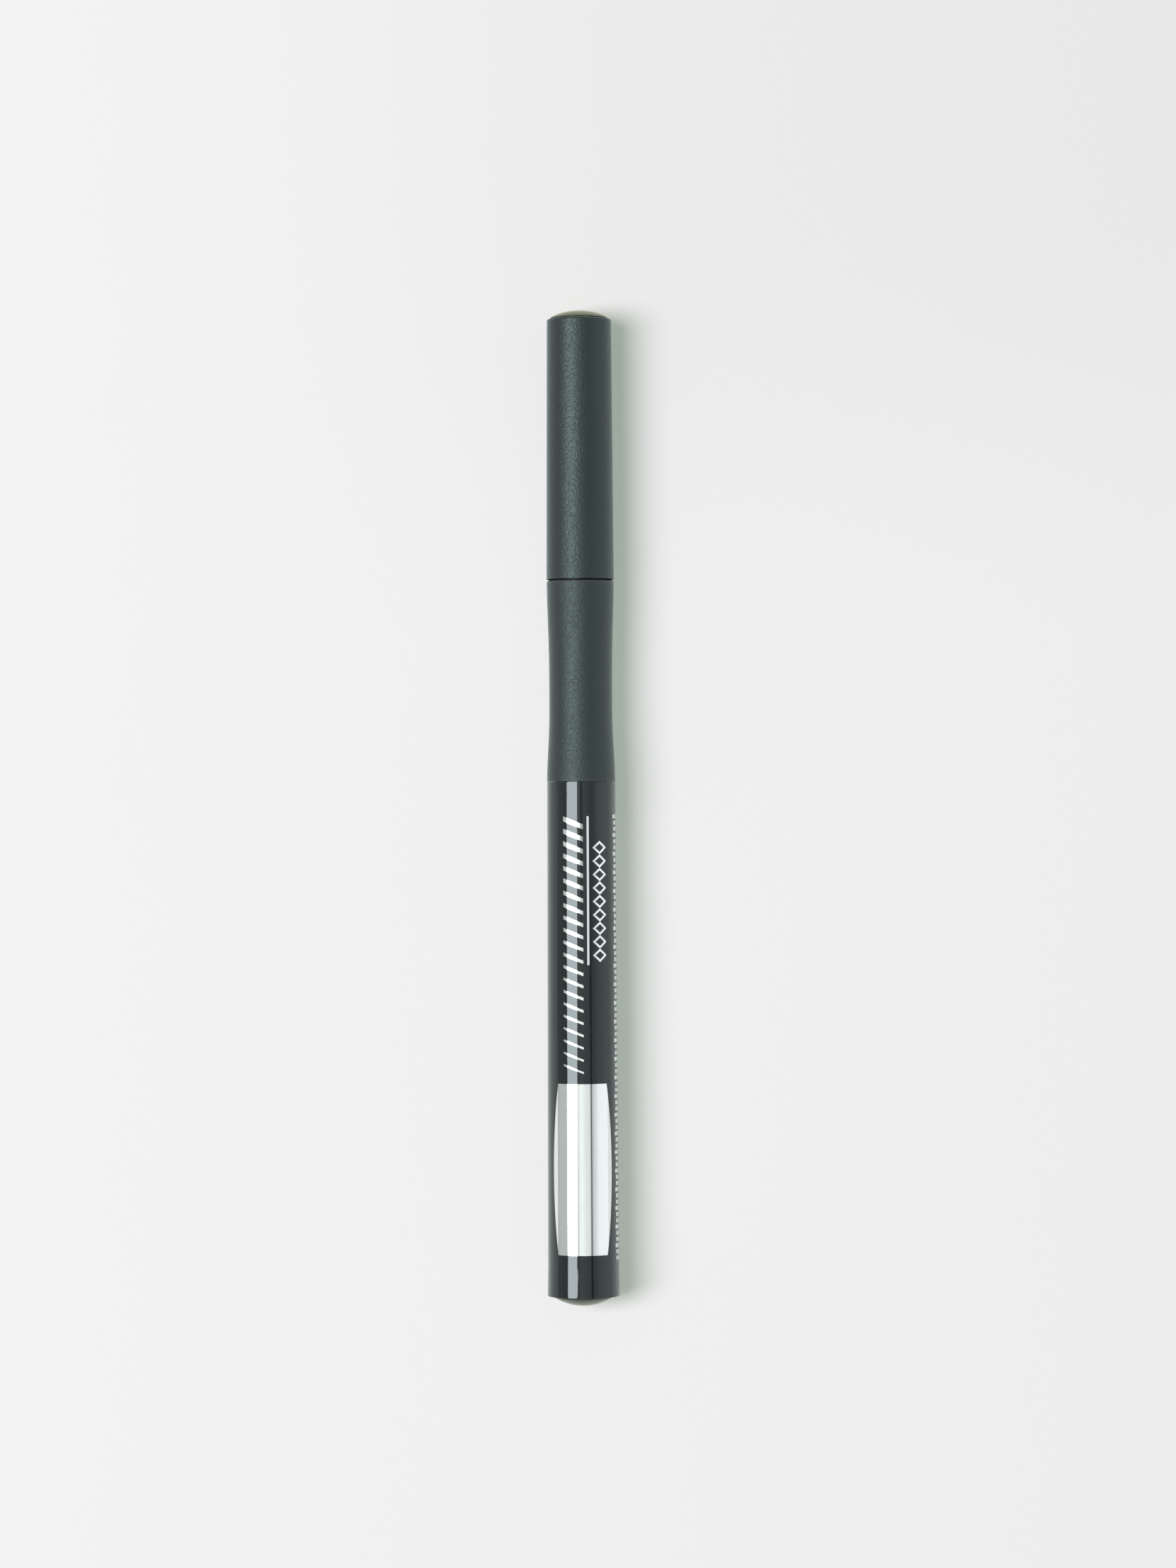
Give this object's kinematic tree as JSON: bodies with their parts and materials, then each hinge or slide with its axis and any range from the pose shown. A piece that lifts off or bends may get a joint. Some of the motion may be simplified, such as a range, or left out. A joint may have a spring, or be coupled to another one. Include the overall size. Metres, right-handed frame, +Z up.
{
  "type": "felt-tip eyeliner pen",
  "caption": "Slim capped felt-tip eyeliner pen with a waisted soft-touch grip, a glossy tapered barrel and domed ends; the cap pulls off a sealed nib.",
  "frame": {"origin": "centre of the bounding box's underside, under the pen's middle, on the surface that the pen lies on", "axes": "+Y along the pen towards the cap, +Z up from the surface, +X to the right when the pen is seen from above with its cap away from the viewer"},
  "size_m": [0.01, 0.138, 0.01],
  "materials": {
    "barrel_gloss": "lacquered, high gloss",
    "rear_plug_gloss": "moulded gloss",
    "section_plastic": "moulded satin",
    "sleeve_soft_touch": "soft-touch coating",
    "holder_plastic": "moulded satin",
    "nib_felt": "ink-soaked felt",
    "wick_fibre": "ink-soaked bonded fibre",
    "guide_plastic": "natural moulding",
    "reservoir_fibre": "ink-soaked bonded fibre",
    "film_plastic": "thin clear wrap",
    "cap_soft_touch": "soft-touch coating",
    "cap_plug_satin": "satin moulding",
    "liner_plastic": "natural moulding",
    "silver_foil": "hot-stamped bright foil",
    "pale_print": "screen print"
  },
  "bodies": {
    "pen": {"barrel": "barrel_gloss", "rear_plug": "rear_plug_gloss", "front_section": "section_plastic", "grip_sleeve": "sleeve_soft_touch", "nib_holder": "holder_plastic", "nib": "nib_felt", "feed_wick": "wick_fibre", "wick_guide": "guide_plastic", "ink_reservoir": "reservoir_fibre", "reservoir_film": "film_plastic"},
    "cap": {"cap_shell": "cap_soft_touch", "cap_top_plug": "cap_plug_satin", "inner_cap": "liner_plastic"}
  },
  "joints": [
    {"name": "cap_pull", "type": "slide", "parent": "pen", "child": "cap", "axis": [0, 1, 0], "range_m": [0, 0.04]}
  ]
}
